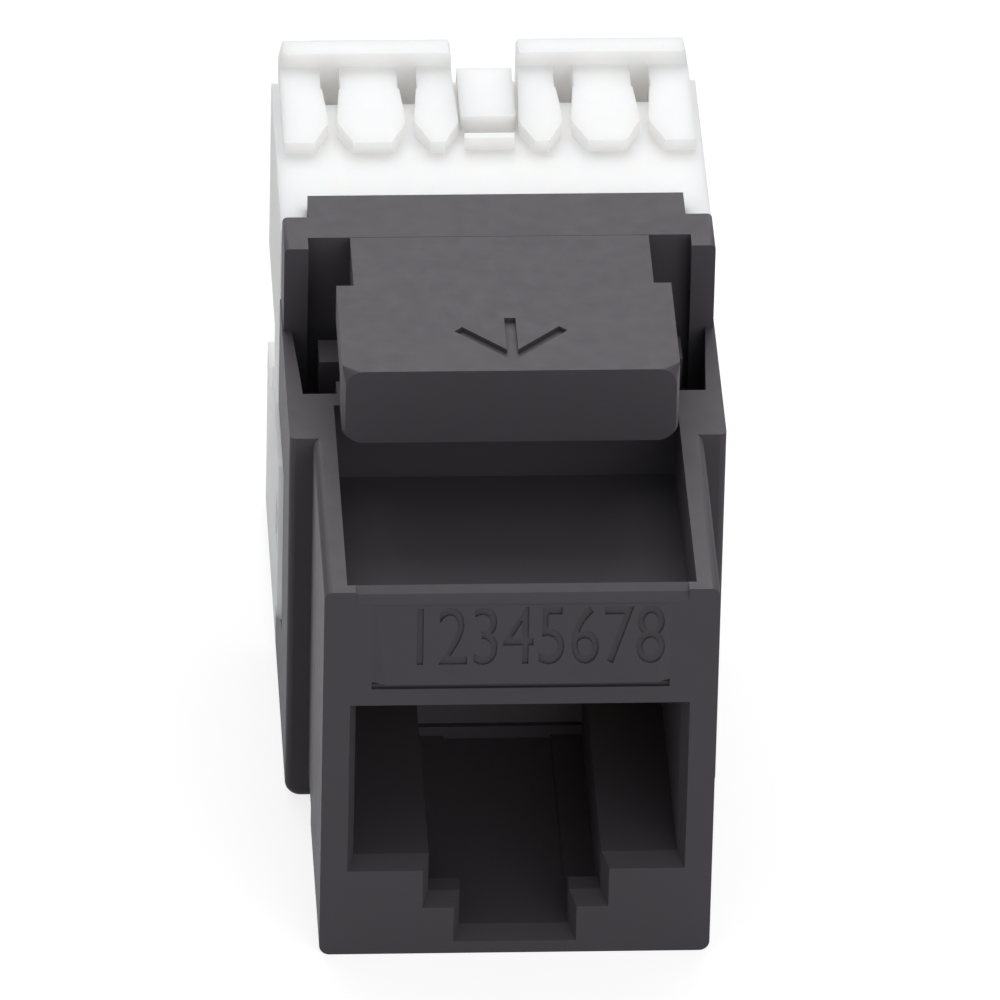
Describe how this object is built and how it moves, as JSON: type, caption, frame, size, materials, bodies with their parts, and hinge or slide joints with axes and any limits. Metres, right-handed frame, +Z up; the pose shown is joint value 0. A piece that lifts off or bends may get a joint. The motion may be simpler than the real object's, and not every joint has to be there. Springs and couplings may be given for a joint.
{
  "type": "keystone jack",
  "caption": "Black keystone jack: stepped plug socket in the front face, flexing top latch that bends into a well, and a white rear block with wire slots and a cable channel.",
  "frame": {"origin": "on the flat base, on the centre line, in the plane of the panel shoulder", "axes": "+X to the right seen from the plug side, +Y towards the cable, +Z up to the latch"},
  "size_m": [0.0166, 0.0323, 0.0203],
  "materials": {
    "black_plastic": "satin moulded",
    "carrier_plastic": "matt moulded",
    "white_plastic": "soft gloss moulded",
    "gold_plate": "gold plated",
    "tin_plate": "tin plated",
    "board": "solder resist"
  },
  "bodies": {
    "body": {"housing": "black_plastic", "contact_carrier": "carrier_plastic", "circuit_board": "board", "idc_block": "white_plastic", "contact_spring_1": "gold_plate", "contact_spring_2": "gold_plate", "contact_spring_3": "gold_plate", "contact_spring_4": "gold_plate", "contact_spring_5": "gold_plate", "contact_spring_6": "gold_plate", "contact_spring_7": "gold_plate", "contact_spring_8": "gold_plate", "idc_contact_1": "tin_plate", "idc_contact_2": "tin_plate", "idc_contact_3": "tin_plate", "idc_contact_4": "tin_plate", "idc_contact_5": "tin_plate", "idc_contact_6": "tin_plate", "idc_contact_7": "tin_plate", "idc_contact_8": "tin_plate"},
    "latch": {"latch_arm": "black_plastic"}
  },
  "joints": [
    {"name": "latch_flex", "type": "hinge", "parent": "body", "child": "latch", "pos_m": [0, 0.00831, 0.01955], "axis": [1, 0, 0], "range_deg": [0, 11], "stiffness_Nm_per_rad": 0.4}
  ]
}
